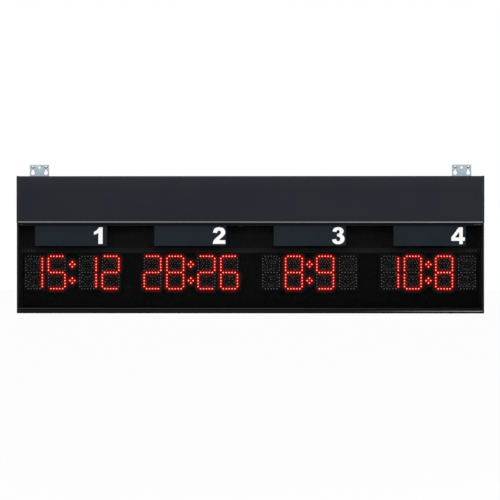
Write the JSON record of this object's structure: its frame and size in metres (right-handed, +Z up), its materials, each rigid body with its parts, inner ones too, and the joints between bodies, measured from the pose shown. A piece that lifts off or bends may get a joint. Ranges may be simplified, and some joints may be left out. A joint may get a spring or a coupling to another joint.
{
  "type": "electronic scoreboard",
  "caption": "Wall-hung LED scoreboard: folded cabinet, hinged upper cover, smoked window over sets of red LED digits with numbered plates, and sliding keyhole hanger plates.",
  "frame": {"origin": "middle of the cabinet's flat rear face, in width and in height", "axes": "+X to the viewer's right along the board, -Y to the front, +Z up"},
  "size_m": [2, 0.092, 0.6466],
  "materials": {
    "cabinet_paint": "matt charcoal powder coat",
    "cap_paint": "matt black powder coat",
    "lip_metal": "dark satin aluminium extrusion",
    "rail_paint": "black satin aluminium extrusion",
    "zinc_steel": "zinc plated steel",
    "smoked_window": "glossy smoked polycarbonate",
    "magnet_metal": "nickel plated",
    "carrier_paint": "matt black paint",
    "baffle_strip": "dark grey extrusion",
    "plate_vinyl": "satin dark vinyl",
    "module_black": "matt black moulding",
    "galvanised_steel": "galvanised",
    "supply_case": "plain sheet",
    "board_green": "solder mask",
    "black_plastic": "moulded black",
    "lead_jacket": "flexible jacket",
    "ribbon_jacket": "flat grey ribbon",
    "pin_brass": "bright"
  },
  "bodies": {
    "cabinet": {"rear_shell": "cabinet_paint", "end_cap_left": "cap_paint", "end_cap_right": "cap_paint", "mid_rail": "lip_metal", "bottom_rail": "rail_paint", "bay_shelf": "zinc_steel", "window": "smoked_window", "hinge_leaf_fixed": "zinc_steel", "hinge_pin": "zinc_steel", "cover_magnet_left": "magnet_metal", "cover_magnet_right": "magnet_metal", "led_carrier": "carrier_paint", "carrier_rail_left": "zinc_steel", "carrier_rail_centre": "zinc_steel", "carrier_rail_right": "zinc_steel", "light_baffle": "baffle_strip", "set_1_number_plate": "plate_vinyl", "set_1_digit_1": "module_black", "set_1_digit_2": "module_black", "set_1_digit_3": "module_black", "set_1_digit_4": "module_black", "set_1_colon": "module_black", "set_2_number_plate": "plate_vinyl", "set_2_digit_1": "module_black", "set_2_digit_2": "module_black", "set_2_digit_3": "module_black", "set_2_digit_4": "module_black", "set_2_colon": "module_black", "set_3_number_plate": "plate_vinyl", "set_3_digit_1": "module_black", "set_3_digit_2": "module_black", "set_3_digit_3": "module_black", "set_3_digit_4": "module_black", "set_3_colon": "module_black", "set_4_number_plate": "plate_vinyl", "set_4_digit_1": "module_black", "set_4_digit_2": "module_black", "set_4_digit_3": "module_black", "set_4_digit_4": "module_black", "set_4_colon": "module_black", "hanger_clamp_left": "zinc_steel", "hanger_clamp_right": "zinc_steel", "power_supply": "supply_case", "control_board": "board_green", "radio_receiver": "black_plastic", "antenna": "black_plastic", "mains_lead": "lead_jacket", "supply_harness": "lead_jacket", "data_ribbon": "ribbon_jacket", "inlet_housing": "black_plastic", "inlet_pin_live": "pin_brass", "inlet_pin_neutral": "pin_brass", "inlet_pin_earth": "pin_brass"},
    "cover": {"upper_cover": "cabinet_paint", "hinge_leaf_cover": "zinc_steel"},
    "left_hanger": {"hanger_left": "galvanised_steel"},
    "right_hanger": {"hanger_right": "galvanised_steel"},
    "fuse_tray": {"fuse_drawer": "black_plastic"},
    "rocker": {"rocker_switch": "black_plastic"}
  },
  "joints": [
    {"name": "cover_hinge", "type": "hinge", "parent": "cabinet", "child": "cover", "pos_m": [0, -0.03, 0.294], "axis": [-1, 0, 0], "range_deg": [0, 100]},
    {"name": "left_hanger_slide", "type": "slide", "parent": "cabinet", "child": "left_hanger", "axis": [0, 0, 1], "range_m": [-0.053, 0]},
    {"name": "right_hanger_slide", "type": "slide", "parent": "cabinet", "child": "right_hanger", "axis": [0, 0, 1], "range_m": [-0.053, 0]},
    {"name": "fuse_drawer_slide", "type": "slide", "parent": "cabinet", "child": "fuse_tray", "axis": [0, 0, -1], "range_m": [0, 0.018]},
    {"name": "rocker_throw", "type": "hinge", "parent": "cabinet", "child": "rocker", "pos_m": [0.894, -0.013, -0.2893], "axis": [0, -1, 0], "range_deg": [0, 20]}
  ]
}
